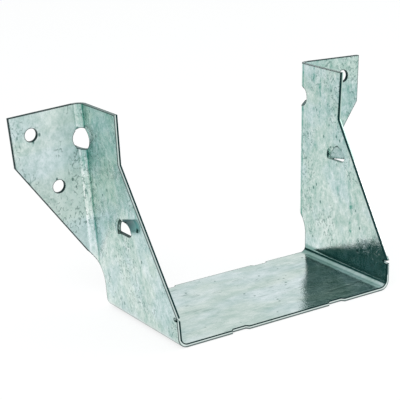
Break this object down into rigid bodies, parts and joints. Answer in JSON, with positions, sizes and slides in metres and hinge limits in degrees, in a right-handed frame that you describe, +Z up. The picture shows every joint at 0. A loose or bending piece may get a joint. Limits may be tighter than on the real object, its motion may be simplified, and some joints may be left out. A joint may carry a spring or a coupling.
{
  "type": "joist hanger",
  "caption": "Face-mount joist hanger folded from one galvanised sheet: a U-shaped seat with slanted side plates, pierced header flanges and formed nail guides.",
  "frame": {"origin": "middle of the hanger's width and depth, on the seat's underside", "axes": "+X across the joist, to the right as seen from the joist side; +Y towards the header, square to the header flanges; +Z up, away from the seat"},
  "size_m": [0.1372, 0.0508, 0.0687],
  "materials": {
    "galvanised_steel": "hot-dip galvanised, pale grey with a soft spangle"
  },
  "bodies": {
    "root": {"hanger": "galvanised_steel"}
  },
  "joints": []
}
